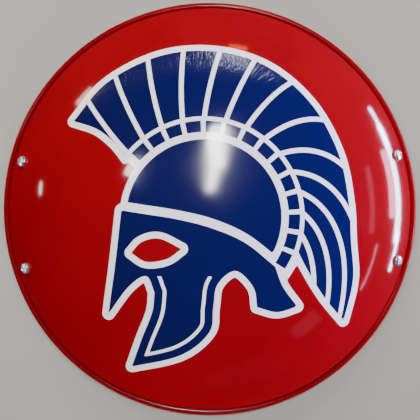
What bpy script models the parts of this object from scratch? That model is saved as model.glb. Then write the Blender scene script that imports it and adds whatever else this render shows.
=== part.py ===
"""A round, dished steel shield that lies face up on its rolled rim.

The dish is spun from one sheet and its edge is rolled outwards into a hollow bead.
Four cross-recessed screws near the rim, two on each side, pass through the dish and
hold two leather arm straps that run straight across the hollow back.

Metres, +Z up. The origin is on the surface that the rim rests on, under the crown.
+Y is towards the top of the shield's face and +X is to the right of someone who looks at it.
"""

import math

import bmesh
import bpy
from mathutils import Matrix, Vector

# The dish
SHIELD_DIAMETER = 0.610
CROWN_HEIGHT = 0.110
SHEET = 0.0012
EDGE_SLOPE = math.radians(43.0)
SHOULDER_RADIUS = 0.012
WALL_HEIGHT = 0.001

# The rolled rim
BEAD_DIAMETER = 0.0092
BEAD_FLAT = 0.0024
SEAM_GAP = 0.00056

# The screws, as they were drilled: how far in from the rim on either side, and at which bearings from +X
SCREW_INSET_RIGHT = 0.0210
SCREW_INSET_LEFT = 0.0239
SCREW_BEARINGS = {
    "upper_right": 16.0,
    "upper_left": 165.8,
    "lower_left": 197.9,
    "lower_right": -15.5,
}
SCREW_HOLE = 0.0090
THREAD_DIAMETER = 0.0080
HEAD_DIAMETER = 0.0160
HEAD_HEIGHT = 0.0052
HEAD_EDGE = 0.0022
RECESS_SPAN = 0.0086
RECESS_SLOT = 0.0021
RECESS_DEPTH = 0.0032
RECESS_TAPER = 0.55
THREAD_END = 0.0022
THREAD_CHAMFER = 0.0008

# The washers and nuts
WASHER_DIAMETER = 0.0200
WASHER_BORE = 0.0088
WASHER_THICKNESS = 0.0016
NUT_ACROSS_FLATS = 0.0130
NUT_BORE = 0.0087
NUT_THICKNESS = 0.0065

# The straps
STRAP_WIDTH = 0.038
STRAP_THICKNESS = 0.0030
STRAP_HEIGHT = 0.037
STRAP_SAG = 0.015
STRAP_RIM_GAP = 0.0022
STRAP_CORNER = 0.009
STRAP_BEND = 0.0016
STRAP_BEND_ZONE = 0.040
STRAP_HOLE = 0.0092

# Gaps between pieces that touch: flat on flat, and flat on the curved dish
FLAT_GAP = 0.0003
CURVED_GAP = 0.0006

# How finely the round forms are cut into flat faces
AROUND = 64
DOME_RINGS = 10
SHOULDER_STEPS = 3
BEAD_STEPS = 7
SCREW_SIDES = 16
STRAP_CORNER_STEPS = 4
STRAP_BEND_STEPS = 9
STRAP_HALF_STEPS = 6
STRAP_ACROSS = 4

# What follows from those sizes
RIM_RADIUS = SHIELD_DIAMETER / 2
BEAD_RADIUS = BEAD_DIAMETER / 2
BEAD_CENTRE_R = RIM_RADIUS - BEAD_RADIUS
BEAD_CENTRE_Z = math.sqrt(BEAD_RADIUS**2 - (BEAD_FLAT / 2) ** 2)
WALL_BACK_R = RIM_RADIUS - BEAD_DIAMETER
WALL_FRONT_R = WALL_BACK_R + SHEET
SHOULDER_CENTRE_R = WALL_FRONT_R - SHOULDER_RADIUS
SHOULDER_CENTRE_Z = BEAD_CENTRE_Z + WALL_HEIGHT
DOME_EDGE_R = SHOULDER_CENTRE_R + SHOULDER_RADIUS * math.sin(EDGE_SLOPE)
DOME_EDGE_Z = SHOULDER_CENTRE_Z + SHOULDER_RADIUS * math.cos(EDGE_SLOPE)
# The dome drops by DOME_SQUARE * t^2 + DOME_FOURTH * t^4, where t is 1 at its edge
DOME_DROP = CROWN_HEIGHT - DOME_EDGE_Z
DOME_FOURTH = DOME_EDGE_R * math.tan(EDGE_SLOPE) / 2 - DOME_DROP
DOME_SQUARE = DOME_DROP - DOME_FOURTH
# Depths below the dish's front face, along a screw, of what it clamps
STRAP_DEPTH = SHEET + CURVED_GAP
WASHER_DEPTH = STRAP_DEPTH + STRAP_THICKNESS + CURVED_GAP
NUT_DEPTH = WASHER_DEPTH + WASHER_THICKNESS + FLAT_GAP
THREAD_LENGTH = NUT_DEPTH + NUT_THICKNESS + THREAD_END


def clear_scene():
    for thing in list(bpy.data.objects):
        bpy.data.objects.remove(thing)


def material(name, colour, roughness, metallic):
    made = bpy.data.materials.new(name)
    made.use_nodes = True
    shader = made.node_tree.nodes["Principled BSDF"]
    shader.inputs["Base Color"].default_value = (*colour, 1.0)
    shader.inputs["Roughness"].default_value = roughness
    shader.inputs["Metallic"].default_value = metallic
    return made


def add_object(name, mesh_maker, finish, smooth_below=30.0):
    """A new object whose mesh mesh_maker filled in, with normals out and soft edges shaded smooth."""
    body = bmesh.new()
    mesh_maker(body)
    bmesh.ops.recalc_face_normals(body, faces=body.faces)
    mesh = bpy.data.meshes.new(name)
    body.to_mesh(mesh)
    body.free()
    mesh.shade_smooth()
    mesh.set_sharp_from_angle(angle=math.radians(smooth_below))
    mesh.materials.append(finish)
    thing = bpy.data.objects.new(name, mesh)
    bpy.context.scene.collection.objects.link(thing)
    return thing


def spin_profile(body, profile, steps, closed=False):
    """Turns a profile of (radius, height) points once about Z. Its ends lie on the axis unless it is closed."""
    corners = [body.verts.new((r, 0.0, z)) for r, z in profile]
    edges = [body.edges.new(pair) for pair in zip(corners, corners[1:])]
    if closed:
        edges.append(body.edges.new((corners[-1], corners[0])))
    bmesh.ops.spin(
        body,
        geom=corners + edges,
        axis=(0, 0, 1),
        cent=(0, 0, 0),
        steps=steps,
        angle=math.tau,
        use_merge=True,
        use_duplicate=False,
    )
    bmesh.ops.remove_doubles(body, verts=body.verts, dist=1e-6)


def arc(centre_r, centre_z, radius, start, end, steps):
    """Points from one angle to another, both ends included, in degrees from +radius towards +Z."""
    angles = [math.radians(start + (end - start) * i / steps) for i in range(steps + 1)]
    return [(centre_r + radius * math.cos(a), centre_z + radius * math.sin(a)) for a in angles]


def dome_front(r):
    """Height and slope of the dish's front face at a radius on the dome."""
    t = r / DOME_EDGE_R
    height = CROWN_HEIGHT - DOME_SQUARE * t**2 - DOME_FOURTH * t**4
    slope = (2 * DOME_SQUARE * t + 4 * DOME_FOURTH * t**3) / DOME_EDGE_R
    return height, slope


def dish_back(r):
    """Height of the dish's back face at a radius, and how steeply it falls there."""
    if r <= DOME_EDGE_R:
        height, slope = dome_front(r)
        return height - SHEET * math.hypot(1.0, slope), slope
    radius = SHOULDER_RADIUS - SHEET
    out = min(r - SHOULDER_CENTRE_R, 0.98 * radius)
    rise = math.sqrt(radius**2 - out**2)
    return SHOULDER_CENTRE_Z + rise, out / rise


def dish_profile():
    """The sheet's section: front face out to the wall, round inside the bead, back outside it, and back to the axis."""
    dome = []
    for i in range(DOME_RINGS + 1):
        r = DOME_EDGE_R * math.sin(math.pi / 2 * i / DOME_RINGS)
        height, slope = dome_front(r)
        dome.append((r, height, slope))
    front = [(r, z) for r, z, _ in dome]
    back = []
    for r, z, slope in dome:
        tilt = math.atan(slope)
        back.append((r - SHEET * math.sin(tilt), z - SHEET * math.cos(tilt)))

    start = 90.0 - math.degrees(EDGE_SLOPE)
    centre = (SHOULDER_CENTRE_R, SHOULDER_CENTRE_Z)
    front += arc(*centre, SHOULDER_RADIUS, start, 0.0, SHOULDER_STEPS)[1:]
    back += arc(*centre, SHOULDER_RADIUS - SHEET, start, 0.0, SHOULDER_STEPS)[1:]

    seam = 540.0 - math.degrees(math.acos((BEAD_RADIUS - SHEET - SEAM_GAP) / BEAD_RADIUS))
    flat = math.degrees(math.asin(BEAD_FLAT / 2 / BEAD_RADIUS))
    bead = (BEAD_CENTRE_R, BEAD_CENTRE_Z)
    inside = arc(*bead, BEAD_RADIUS - SHEET, 180.0, seam, BEAD_STEPS)
    outside = arc(*bead, BEAD_RADIUS, seam, 360.0, 3)
    outside += arc(*bead, BEAD_RADIUS, 360.0, 270.0 + flat, 4)[1:]
    outside += arc(*bead, BEAD_RADIUS, 270.0 - flat, 180.0, 3)
    return front + inside + outside + back[::-1]


def screw_frame(corner):
    """Places a screw: its origin is on the dish's front face and its +Z points straight out of it."""
    inset = SCREW_INSET_LEFT if corner.endswith("left") else SCREW_INSET_RIGHT
    screw_r = RIM_RADIUS - inset
    height, slope = dome_front(screw_r)
    bearing = math.radians(SCREW_BEARINGS[corner])
    out = Vector((math.cos(bearing), math.sin(bearing), 0.0))
    point = out * screw_r + Vector((0.0, 0.0, height))
    normal = (out * slope + Vector((0.0, 0.0, 1.0))).normalized()
    across = Vector((0.0, 0.0, 1.0)).cross(normal).normalized()
    turn = Matrix((across, normal.cross(across), normal)).transposed()
    return Matrix.Translation(point) @ turn.to_4x4()


def place(thing, frame):
    thing.location = frame.to_translation()
    thing.rotation_euler = frame.to_euler()


def cut(thing, mesh_maker, frame, name):
    """Cuts a shape out of an object, with a cutter placed by its frame and left out of the model."""
    cutter = add_object(name, mesh_maker, thing.data.materials[0])
    place(cutter, frame)
    cutter.hide_render = True
    cutter.display_type = "WIRE"
    boolean = thing.modifiers.new(name, "BOOLEAN")
    boolean.object = cutter
    boolean.operation = "DIFFERENCE"
    boolean.solver = "EXACT"


def drill(diameter, length):
    """A maker for a round cutter about Z, centred on the origin."""
    def make(body):
        bmesh.ops.create_cone(
            body,
            cap_ends=True,
            segments=SCREW_SIDES,
            radius1=diameter / 2,
            radius2=diameter / 2,
            depth=length,
        )
    return make


def make_dish(finish):
    dish = add_object("dish", lambda body: spin_profile(body, dish_profile(), AROUND), finish)
    for corner in SCREW_BEARINGS:
        cut(dish, drill(SCREW_HOLE, 8 * SHEET), screw_frame(corner), f"dish_drill_{corner}")


def screw_profile():
    """Pan head, shank and chamfered end, from the top of the axis to the bottom."""
    head_r = HEAD_DIAMETER / 2
    top = FLAT_GAP + HEAD_HEIGHT
    edge = FLAT_GAP + HEAD_EDGE
    dome = [
        (head_r * math.sin(a), edge + (top - edge) * math.cos(a))
        for a in (math.pi / 2 * i / 5 for i in range(6))
    ]
    shank_r = THREAD_DIAMETER / 2
    end = [
        (head_r, FLAT_GAP),
        (shank_r, FLAT_GAP),
        (shank_r, THREAD_CHAMFER - THREAD_LENGTH),
        (shank_r - THREAD_CHAMFER, -THREAD_LENGTH),
        (0.0, -THREAD_LENGTH),
    ]
    return dome + end


def cross_recess(body):
    """A plus-shaped cutter about Z that narrows downwards, with its wide end above the head."""
    arm, half = RECESS_SPAN / 2, RECESS_SLOT / 2
    quarter = [(arm, -half), (arm, half), (half, half)]
    outline = []
    for _ in range(4):
        outline += quarter
        quarter = [(-y, x) for x, y in quarter]
    top = FLAT_GAP + HEAD_HEIGHT + RECESS_DEPTH
    bottom = FLAT_GAP + HEAD_HEIGHT - RECESS_DEPTH
    upper = [body.verts.new((x * (2 - RECESS_TAPER), y, top)) if abs(x) > abs(y)
             else body.verts.new((x, y * (2 - RECESS_TAPER), top)) for x, y in outline]
    lower = [body.verts.new((x * RECESS_TAPER, y, bottom)) if abs(x) > abs(y)
             else body.verts.new((x, y * RECESS_TAPER, bottom)) for x, y in outline]
    body.faces.new(upper)
    body.faces.new(lower[::-1])
    for i in range(len(outline)):
        j = (i + 1) % len(outline)
        body.faces.new((upper[i], lower[i], lower[j], upper[j]))


def make_screw(corner, finish):
    screw = add_object(
        f"screw_{corner}", lambda body: spin_profile(body, screw_profile(), SCREW_SIDES), finish
    )
    frame = screw_frame(corner)
    place(screw, frame)
    cut(screw, cross_recess, frame, f"screw_recess_{corner}")


def make_washer(corner, finish):
    inner, outer = WASHER_BORE / 2, WASHER_DIAMETER / 2
    top, bottom = -WASHER_DEPTH, -WASHER_DEPTH - WASHER_THICKNESS
    section = [(inner, top), (outer, top), (outer, bottom), (inner, bottom)]
    washer = add_object(
        f"washer_{corner}",
        lambda body: spin_profile(body, section, SCREW_SIDES, closed=True),
        finish,
    )
    place(washer, screw_frame(corner))


def make_nut(corner, finish):
    """A hexagon nut whose origin is at its own middle, so that it is drilled about its centre."""
    def hexagon(body):
        corner_r = NUT_ACROSS_FLATS / math.sqrt(3)
        bmesh.ops.create_cone(
            body,
            cap_ends=True,
            segments=6,
            radius1=corner_r,
            radius2=corner_r,
            depth=NUT_THICKNESS,
        )

    nut = add_object(f"nut_{corner}", hexagon, finish)
    middle = -NUT_DEPTH - NUT_THICKNESS / 2
    frame = screw_frame(corner) @ Matrix.Translation((0.0, 0.0, middle))
    place(nut, frame)
    cut(nut, drill(NUT_BORE, 2 * NUT_THICKNESS), frame, f"nut_drill_{corner}")


def soft_lower(a, b):
    """The lower of two heights, rounded where they cross, as leather bends."""
    low = min(a, b)
    return low - STRAP_BEND * math.log(math.exp((low - a) / STRAP_BEND) + math.exp((low - b) / STRAP_BEND))


def strap_stations(length):
    """Shares of the way along a strap, close together at its rounded corners and where it leaves the dish."""
    turns = [math.pi / 2 * i / STRAP_CORNER_STEPS for i in range(STRAP_CORNER_STEPS)]
    corner = [STRAP_CORNER * (1.0 - math.cos(a)) for a in turns]
    straight = STRAP_BEND_ZONE - STRAP_CORNER
    bend = [STRAP_CORNER + straight * i / STRAP_BEND_STEPS for i in range(STRAP_BEND_STEPS)]
    open_part = length / 2 - STRAP_BEND_ZONE
    free = [STRAP_BEND_ZONE + open_part * i / STRAP_HALF_STEPS for i in range(STRAP_HALF_STEPS)]
    half = [distance / length for distance in corner + bend + free]
    return half + [0.5] + [1.0 - share for share in reversed(half)]


def strap_top(x, y, half_span):
    """Height of the strap's upper face: against the dish at its ends, and hanging between them.
    x and y are along and across the shield, from its middle."""
    back, slope = dish_back(math.hypot(x, y))
    against_dish = back - CURVED_GAP * math.hypot(1.0, slope)
    hanging = STRAP_HEIGHT - STRAP_SAG * (1.0 - min(1.0, abs(x) / half_span) ** 2)
    return soft_lower(against_dish, hanging)


def strap_mesh(left, right):
    """A maker for the strap between two screws, given their places in plan. Its ends follow the rim's curve."""
    middle = (left + right) / 2
    along = (right - left).normalized()
    across = Vector((-along.y, along.x))
    half_span = (right - left).length / 2
    end_r = WALL_BACK_R - STRAP_RIM_GAP

    def trimmed(offset):
        """The line along the strap at an offset across it: its start and end on the circle inside the rim."""
        start = middle + across * offset
        back = along.dot(start)
        reach = math.sqrt(back**2 + end_r**2 - start.length_squared)
        return start - along * (back + reach), start - along * (back - reach)

    near, far = trimmed(0.0)
    length = (far - near).length

    def plan_point(share, side):
        """The plan point at a share of the length and at a side from -1 to 1."""
        half_width = STRAP_WIDTH / 2
        to_end = min(share, 1.0 - share) * length
        if to_end < STRAP_CORNER:
            half_width -= STRAP_CORNER - math.sqrt(STRAP_CORNER**2 - (STRAP_CORNER - to_end) ** 2)
        first, last = trimmed(side * half_width)
        return first.lerp(last, share)

    def make(body):
        rows = []
        for share in strap_stations(length):
            row = []
            for k in range(STRAP_ACROSS + 1):
                point = plan_point(share, 2 * k / STRAP_ACROSS - 1)
                top = strap_top(point.x, point.y, half_span)
                step = STRAP_THICKNESS / 20
                fall_x = strap_top(point.x + step, point.y, half_span) - strap_top(
                    point.x - step, point.y, half_span
                )
                fall_y = strap_top(point.x, point.y + step, half_span) - strap_top(
                    point.x, point.y - step, half_span
                )
                fall = math.hypot(fall_x, fall_y) / (2 * step)
                bottom = top - STRAP_THICKNESS * math.hypot(1.0, fall)
                upper = body.verts.new((point.x, point.y, top))
                row.append((upper, body.verts.new((point.x, point.y, bottom))))
            rows.append(row)
        for near, far in zip(rows, rows[1:]):
            for k in range(STRAP_ACROSS):
                body.faces.new((near[k][0], far[k][0], far[k + 1][0], near[k + 1][0]))
                body.faces.new((near[k + 1][1], far[k + 1][1], far[k][1], near[k][1]))
            for k in (0, STRAP_ACROSS):
                body.faces.new((near[k][0], near[k][1], far[k][1], far[k][0]))
        for row in (rows[0], rows[-1]):
            for k in range(STRAP_ACROSS):
                body.faces.new((row[k][0], row[k + 1][0], row[k + 1][1], row[k][1]))

    return make


def make_strap(level, finish):
    """One strap, from the screw on the left to the screw on the right of one level."""
    places = [screw_frame(f"{level}_{side}").to_translation().xy for side in ("left", "right")]
    strap = add_object(f"strap_{level}", strap_mesh(*places), finish)
    for side in ("left", "right"):
        corner = f"{level}_{side}"
        through = drill(STRAP_HOLE, 3 * WASHER_DEPTH)
        cut(strap, through, screw_frame(corner), f"strap_drill_{corner}")


def main():
    clear_scene()
    enamel = material("red_enamel", (0.45, 0.004, 0.006), 0.12, 0.0)
    zinc = material("bright_zinc", (0.62, 0.64, 0.66), 0.25, 1.0)
    leather = material("brown_leather", (0.085, 0.036, 0.016), 0.6, 0.0)
    make_dish(enamel)
    for corner in SCREW_BEARINGS:
        make_screw(corner, zinc)
        make_washer(corner, zinc)
        make_nut(corner, zinc)
    for level in ("upper", "lower"):
        make_strap(level, leather)


main()
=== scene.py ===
# %% [markdown]
# # A round shield in red enamel, with a helmet on its face
# The real thing is one round sheet of steel, pressed into a dome. Its edge is rolled outwards
# into a hollow bead, so that no hand meets a cut edge. The face is sprayed glossy red, and a
# crested helmet in white and blue film is laid on it. Four screws near the rim hold two leather
# arm straps across the hollow back.
#
# The construction model comes first, as a fixed frame that nothing here moves.

# %% Load the frame
import math

import bpy
import numpy as np
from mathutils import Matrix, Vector


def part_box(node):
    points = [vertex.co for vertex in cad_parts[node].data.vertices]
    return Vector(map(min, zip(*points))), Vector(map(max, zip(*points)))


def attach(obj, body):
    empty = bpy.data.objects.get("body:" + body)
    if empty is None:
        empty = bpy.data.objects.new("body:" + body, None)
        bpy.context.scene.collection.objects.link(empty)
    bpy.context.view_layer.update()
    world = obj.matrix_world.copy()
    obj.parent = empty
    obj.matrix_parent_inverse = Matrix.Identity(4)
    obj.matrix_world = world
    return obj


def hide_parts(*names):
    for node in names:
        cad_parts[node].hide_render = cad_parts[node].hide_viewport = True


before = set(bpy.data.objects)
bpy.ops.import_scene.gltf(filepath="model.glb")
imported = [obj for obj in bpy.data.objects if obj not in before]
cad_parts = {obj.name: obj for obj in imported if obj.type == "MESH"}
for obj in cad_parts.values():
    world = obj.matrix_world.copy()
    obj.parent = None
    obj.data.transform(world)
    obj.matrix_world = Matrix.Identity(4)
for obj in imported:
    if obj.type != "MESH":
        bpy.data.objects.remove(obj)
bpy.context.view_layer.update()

MM = 0.001
print("nodes:", ", ".join(sorted(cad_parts)))

# %% [markdown]
# ## Helpers for meshes
# Every new piece here is a surface worked out with numpy: whole arrays of points come from a
# formula, and the mesh gets them in one go. Two things can go wrong with such a mesh, and one
# helper looks after both. If the surface encloses a negative volume, its faces point inwards
# and are turned round. Edges that bend sharply stay crisp, and all others are shaded smooth.
# Another helper goes the other way, and reads a whole mesh into an array.

# %% Helpers that make and read a mesh
def enclosed_volume(points, faces):
    """The volume inside a closed surface, in cubic metres: the sum over its triangles of the
    signed volume of the tetrahedron that each makes with the origin."""
    total = 0.0
    for group in faces:
        first = points[group[:, 0]]
        for k in range(1, group.shape[1] - 1):
            cross = np.cross(points[group[:, k]], points[group[:, k + 1]])
            total += float(np.einsum("ij,ij->", first, cross)) / 6.0
    return total


def make_piece(name, points, faces, crisp_above=35.0):
    """A mesh object from an array of points and a list of arrays of faces, each with one face a row."""
    points = np.asarray(points, float).reshape(-1, 3)
    volume = enclosed_volume(points, faces)
    if volume < 0:
        faces = [group[:, ::-1] for group in faces]
    mesh = bpy.data.meshes.new(name)
    mesh.from_pydata(points.tolist(), [], [face for group in faces for face in group.tolist()])
    mesh.shade_smooth()
    mesh.set_sharp_from_angle(angle=math.radians(crisp_above))
    piece = bpy.data.objects.new(name, mesh)
    bpy.context.scene.collection.objects.link(piece)
    print(f"{name}: {len(mesh.polygons)} faces, {abs(volume) * 1e6:.2f} cubic cm")
    return piece


def read_all(items, name, width=1, kind=float):
    """One property of all of a mesh's points, faces or corners, as an array with a row for each."""
    values = np.empty(len(items) * width, kind)
    items.foreach_get(name, values)
    return values.reshape(-1, width) if width > 1 else values


# %% [markdown]
# ## Discs and tubes of one mesh
# A dome made of rings that all have the same number of points crowds them at its pole, and the
# crowd shows as a pinch in a glossy surface. A square grid pressed into a disc has no pole:
# each square ring of the grid becomes a circle, and the faces stay nearly equal all over. Such
# discs make the face and the back of the dish and both ends of each screw, with a tube of rings
# between them.

# %% A square grid pressed into a disc
def disc_grid(rings):
    """Each point's radius from 0 to 1 and its angle, the faces, and the edge's points in order.

    A grid point's radius is the larger of its two distances from the middle, so a square
    becomes a circle, and its angle grows evenly along each side of its square."""
    step = np.arange(-rings, rings + 1) / rings
    u, v = np.meshgrid(step, step)
    radius = np.maximum(np.abs(u), np.abs(v))
    wide = np.abs(u) >= np.abs(v)
    along = np.where(wide, u, v)
    ratio = np.where(wide, v, u) / np.where(along == 0, 1.0, along)
    side = np.where(along < 0, math.pi, 0.0)
    angle = np.where(wide, ratio * math.pi / 4 + side, math.pi / 2 - ratio * math.pi / 4 + side)
    across = 2 * rings + 1
    corner = (np.arange(across - 1)[:, None] * across + np.arange(across - 1)).ravel()
    faces = np.stack([corner, corner + 1, corner + across + 1, corner + across], axis=1)
    radius = radius.ravel()
    angle = angle.ravel() % math.tau
    edge = np.flatnonzero(radius > 1.0 - 0.5 / rings)
    return radius, angle, faces, edge[np.argsort(angle[edge])]


# %% A tube closed by two discs
def closed_turning(front, tube, back, rings):
    """Joins a disc, the rings of a tube round it and a second disc into one closed surface.

    The tube has 8 points for each ring of the first disc. The second disc has half as many
    rings, so every second point of the tube's last ring gets a triangle. Returns the points
    and the faces."""
    front_faces, front_edge = disc_grid(rings)[2:]
    back_faces, back_edge = disc_grid(rings // 2)[2:]
    count = 8 * rings
    start = len(front) + np.arange(len(tube)) * count
    rows = [front_edge] + [first + np.arange(count) for first in start]
    quads = [front_faces]
    for near, far in zip(rows, rows[1:]):
        quads.append(np.stack([near, far, np.roll(far, -1), np.roll(near, -1)], axis=1))
    back_start = len(front) + len(tube) * count
    edge = back_edge + back_start
    even = rows[-1][0::2]
    odd = rows[-1][1::2]
    triangles = np.stack([even, edge, odd], axis=1)
    quads.append(np.stack([odd, edge, np.roll(edge, -1), np.roll(even, -1)], axis=1))
    quads.append(back_faces[:, ::-1] + back_start)
    points = np.concatenate([front, tube.reshape(-1, 3), back])
    return points, [np.concatenate(quads), triangles]


def turned(radius, angle, height):
    """Points at a radius, an angle and a height, as x, y and z."""
    radius, angle, height = np.broadcast_arrays(radius, angle, height)
    return np.stack([radius * np.cos(angle), radius * np.sin(angle), height], axis=-1)


def arc(centre, radius, start, end, steps):
    """Points (radius, height) along an arc, from one angle to another in degrees, both included."""
    angle = np.radians(np.linspace(start, end, steps + 1))
    return np.stack([centre[0] + radius * np.cos(angle), centre[1] + radius * np.sin(angle)], axis=1)


# %% [markdown]
# ## The dish
# On the real shield a round blank is pressed into a dome, its edge is turned down over a small
# radius, and the last strip is rolled outwards and back up until its cut edge sits in the
# corner that it came from. From the front that seam is the dark ring just inside the rim.
#
# The dome is one formula: it drops with the square and the fourth power of the radius, which
# gives a flatter middle and a steep edge. The section of the rolled rim is a chain of arcs that
# follows the sheet round the bead and back. Both measure themselves from the frame's box.

# %% The dish's sizes and its section
low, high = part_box("dish")
RIM_RADIUS = (high[0] - low[0]) / 2
CROWN = high[2]
SHEET = 1.2 * MM
EDGE_SLOPE = math.radians(43.0)
SHOULDER = 12.0 * MM
BEAD = 4.6 * MM
BEAD_FLAT = 1.2 * MM
SEAM = 0.56 * MM
WALL = 1.0 * MM

bead_r = RIM_RADIUS - BEAD
bead_z = math.sqrt(BEAD**2 - BEAD_FLAT**2)
wall_r = RIM_RADIUS - 2 * BEAD + SHEET
shoulder_r = wall_r - SHOULDER
shoulder_z = bead_z + WALL
dome_r = shoulder_r + SHOULDER * math.sin(EDGE_SLOPE)
dome_drop = CROWN - shoulder_z - SHOULDER * math.cos(EDGE_SLOPE)
fourth = dome_r * math.tan(EDGE_SLOPE) / 2 - dome_drop
square = dome_drop - fourth
print(f"dome edge at {dome_r / MM:.1f} mm, rim at {RIM_RADIUS / MM:.1f} mm, crown at {CROWN / MM:.1f} mm")


def dome(r):
    """Height and slope of the dome's face at a radius: the crown's height less two powers of it."""
    t = np.asarray(r) / dome_r
    return CROWN - square * t**2 - fourth * t**4, (2 * square * t + 4 * fourth * t**3) / dome_r


def dome_back(r):
    """Radius and height of the sheet's back, which lies one thickness inwards along the normal."""
    height, slope = dome(r)
    tilt = np.arctan(slope)
    return r - SHEET * np.sin(tilt), height - SHEET * np.cos(tilt)


# %% The rim's section
slope_angle = 90.0 - math.degrees(EDGE_SLOPE)
seam_angle = 540.0 - math.degrees(math.acos((BEAD - SHEET - SEAM) / BEAD))
flat_angle = math.degrees(math.asin(BEAD_FLAT / BEAD))
# The cut edge in the seam is rounded: halfway through the sheet it stands out by a few degrees
rim_section = np.concatenate([
    arc((shoulder_r, shoulder_z), SHOULDER, slope_angle, 0.0, 7)[1:],
    arc((bead_r, bead_z), BEAD - SHEET, 180.0, seam_angle, 8),
    arc((bead_r, bead_z), BEAD - 0.5 * SHEET, seam_angle + 2.0, seam_angle + 2.0, 1)[:1],
    arc((bead_r, bead_z), BEAD, seam_angle - 1.5, 270.0 + flat_angle, 14),
    arc((bead_r, bead_z), BEAD, 270.0 - flat_angle, 180.0, 3),
    arc((shoulder_r, shoulder_z), SHOULDER - SHEET, 0.0, slope_angle, 4)[:-1],
])
print("points in the rim's section:", len(rim_section))


# %% [markdown]
# A pressed sheet is never quite true. The dents left by the press are a fifth of a millimetre
# deep at most, far too shallow to see, but gloss paint shows them: every reflection wavers.
# A few long waves in different directions do the same, on both faces alike, and they fade
# towards the rolled rim, which is stiff.

# %% Build the dish
FACE_RINGS = 108
STIFF_R, STIFF_FADE = 262.0 * MM, 50.0 * MM


def press_waves(x, y):
    """How far the sheet is off its true shape, in metres: four crossed waves, with heights in
    millimetres, that fade out towards the radius where the rim stiffens the sheet."""
    waves = (
        0.070 * np.sin(x / 0.017 + 1.7 * np.sin(y / 0.051) + 0.6)
        + 0.060 * np.sin(y / 0.021 - 1.3 * np.sin(x / 0.047) + 2.1)
        + 0.045 * np.sin((x + y) / 0.0125 + 1.1)
        + 0.040 * np.sin((x - 0.8 * y) / 0.0105 + 4.0)
    )
    fade = np.clip((STIFF_R - np.hypot(x, y)) / STIFF_FADE, 0.0, 1.0)
    return waves * MM * fade


radius, angle = disc_grid(FACE_RINGS)[:2]
face_points = turned(radius * dome_r, angle, dome(radius * dome_r)[0])
face_points[:, 2] += press_waves(face_points[:, 0], face_points[:, 1])

around = np.arange(8 * FACE_RINGS) * math.tau / (8 * FACE_RINGS)
rim_points = turned(rim_section[:, None, 0], around[None, :], rim_section[:, None, 1])

back_radius, back_angle = disc_grid(FACE_RINGS // 2)[:2]
inner_r, inner_z = dome_back(back_radius * dome_r)
back_points = turned(inner_r, back_angle, inner_z)
back_points[:, 2] += press_waves(back_points[:, 0], back_points[:, 1])

dish_points, dish_faces = closed_turning(face_points, rim_points, back_points, FACE_RINGS)
dish = make_piece("shield_dish", dish_points, dish_faces, crisp_above=50.0)

# %% [markdown]
# ## The helmet, as distances
# The picture is flat colour, so it is no shape of the mesh: each point of the face only stores
# how far it is from the outlines of the picture, with a minus sign inside them. Such distances
# change evenly from point to point, so the edge that the material draws where they pass zero
# is sharp, even though the points are nearly 3 mm apart. All of them are in the drawing's own
# units, of 0.94 mm, so the whole picture can be resized with one number.
#
# The helmet is the plain type of ancient pottery: a round cap, a crest box with blocks, a
# brush of horsehair that runs down into a tail, and a mask with an almond eye and an arch for
# the ear. Each outline has only the few points that it needs. A curve runs smoothly through
# them, and a point marked as a corner breaks it.

# %% Curves and distances
def smooth_outline(points, steps=12):
    """A closed curve through (x, y) points: each stretch is a cubic whose direction at a point
    is half the step between its two neighbours, and a third entry marks a sharp corner."""
    places = [np.array(point[:2], float) for point in points]
    sharp = [len(point) > 2 for point in points]
    count = len(places)
    t = (np.arange(steps) / steps)[:, None]
    stretches = []
    for i in range(count):
        here = places[i]
        there = places[(i + 1) % count]
        before = 2 * here - there if sharp[i] else places[i - 1]
        after = 2 * there - here if sharp[(i + 1) % count] else places[(i + 2) % count]
        pull = (there - before) * t
        bend = (2 * before - 5 * here + 4 * there - after) * t**2
        turn = (3 * here - before - 3 * there + after) * t**3
        stretches.append(here + 0.5 * (pull + bend + turn))
    return np.concatenate(stretches)


def distance_to(outline, x, y):
    """Signed distance from points to a closed outline, negative inside: the shortest way to
    any of its straight bits, and inside if a ray to the right crosses it an odd number of times."""
    nearest = np.full(x.shape, 1e9)
    inside = np.zeros(x.shape, bool)
    for (ax, ay), (bx, by) in zip(outline, np.roll(outline, -1, axis=0)):
        dx = bx - ax
        dy = by - ay
        share = np.clip(((x - ax) * dx + (y - ay) * dy) / (dx * dx + dy * dy), 0.0, 1.0)
        nearest = np.minimum(nearest, np.hypot(x - ax - share * dx, y - ay - share * dy))
        if dy != 0:
            inside ^= ((ay > y) != (by > y)) & (x < ax + (y - ay) * dx / dy)
    return np.where(inside, -nearest, nearest)


# %% The helmet's outlines, on the drawing's own grid
# The drawing's origin lies 3 mm to the right of the shield's middle and 2 mm below it
CORNER = "corner"
UNIT = 0.94 * MM
DRAWING_X, DRAWING_Y = 3.0 * MM, -2.0 * MM
SKULL_X, SKULL_Y, SKULL_R = -12.0, -10.0, 113.0
WHITE_LINE = 9.5
BOX_MIDDLE, BOX_HALF = 132.0, 11.0
BOX_FROM, BOX_TO, BLOCKS = -34.0, 140.0, 14
STRAND_PITCH = 12.6
BRUSH_ROOT = 147.0

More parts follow.
